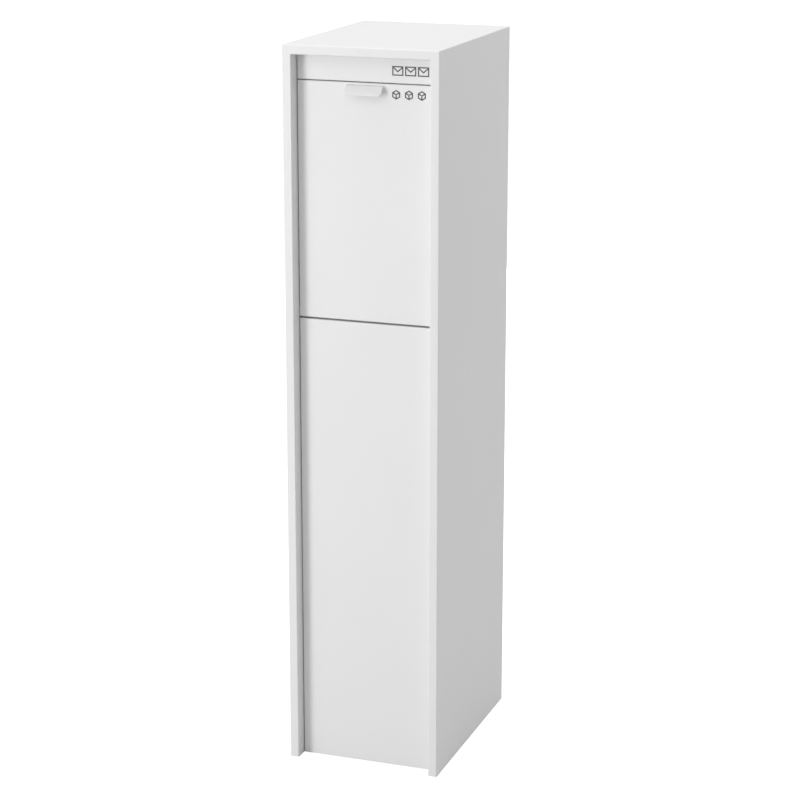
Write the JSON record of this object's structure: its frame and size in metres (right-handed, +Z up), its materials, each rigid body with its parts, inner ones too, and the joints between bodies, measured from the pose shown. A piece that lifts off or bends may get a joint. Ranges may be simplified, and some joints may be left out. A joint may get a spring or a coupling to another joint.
{
  "type": "parcel drop box",
  "caption": "Slim free-standing steel box with a letters flap, a tilting parcels hopper with a pull tab, and a lockable rear door to empty it.",
  "frame": {"origin": "middle of the footprint, on the floor", "axes": "+Z up along the height, front towards -Y, +X to the right seen from the front"},
  "size_m": [0.272, 0.38, 1.25],
  "materials": {
    "painted_steel": "fine-texture white powder coat on sheet steel",
    "zinc_steel": "zinc-plated steel",
    "bright_steel": "drawn bright steel",
    "lock_chrome": "chrome-plated lock",
    "nylon": "natural nylon",
    "rubber": "black rubber",
    "label_ink": "matt dark grey cut film"
  },
  "bodies": {
    "casing": {"side_panel_left": "painted_steel", "side_panel_right": "painted_steel", "top_panel": "painted_steel", "base_plate": "painted_steel", "back_panel": "painted_steel", "front_lower_panel": "painted_steel", "panel_rivets": "zinc_steel", "letter_slot_sill": "painted_steel", "flap_stop_strip": "rubber", "door_bumpers": "rubber", "letter_chute": "painted_steel", "rear_baffle": "painted_steel", "flap_bushes": "nylon", "hopper_bushes": "nylon", "pivot_bracket_upper": "zinc_steel", "pivot_bracket_lower": "zinc_steel", "bracket_rivets": "zinc_steel", "pivot_pins": "bright_steel", "pivot_washers": "nylon"},
    "letters_flap": {"letters_flap": "painted_steel", "flap_rod": "bright_steel", "flap_rod_clips": "zinc_steel", "flap_spring": "bright_steel", "letters_label": "label_ink"},
    "hopper": {"parcels_door": "painted_steel", "door_handle": "painted_steel", "handle_rivets": "zinc_steel", "hopper_cheek_left": "painted_steel", "hopper_cheek_right": "painted_steel", "hopper_tray": "painted_steel", "hopper_hinge_rod": "bright_steel", "hopper_rod_clips": "zinc_steel", "hopper_stop_studs": "bright_steel", "hopper_stop_sleeves": "rubber", "parcels_label": "label_ink"},
    "rear_door": {"rear_door": "painted_steel", "rear_door_seal": "rubber", "lock_barrel": "lock_chrome", "lock_nut": "zinc_steel"},
    "lock_cam": {"lock_plug": "lock_chrome", "lock_cam": "zinc_steel", "lock_cam_screw": "bright_steel"}
  },
  "joints": [
    {"name": "letters_flap_hinge", "type": "hinge", "parent": "casing", "child": "letters_flap", "pos_m": [0, -0.16, 1.228], "axis": [1, 0, 0], "range_deg": [0, 80], "stiffness_Nm_per_rad": 0.03, "springref_deg": -57.3, "deforming": ["flap_spring"]},
    {"name": "hopper_hinge", "type": "hinge", "parent": "casing", "child": "hopper", "pos_m": [0, -0.16, 0.801], "axis": [1, 0, 0], "range_deg": [0, 50]},
    {"name": "rear_door_hinge", "type": "hinge", "parent": "casing", "child": "rear_door", "pos_m": [0.113, 0.1825, 0.3865], "axis": [0, 0, -1], "range_deg": [0, 100]},
    {"name": "lock_turn", "type": "hinge", "parent": "rear_door", "child": "lock_cam", "pos_m": [-0.088, 0.18, 0.4], "axis": [0, 1, 0], "range_deg": [0, 90]}
  ]
}
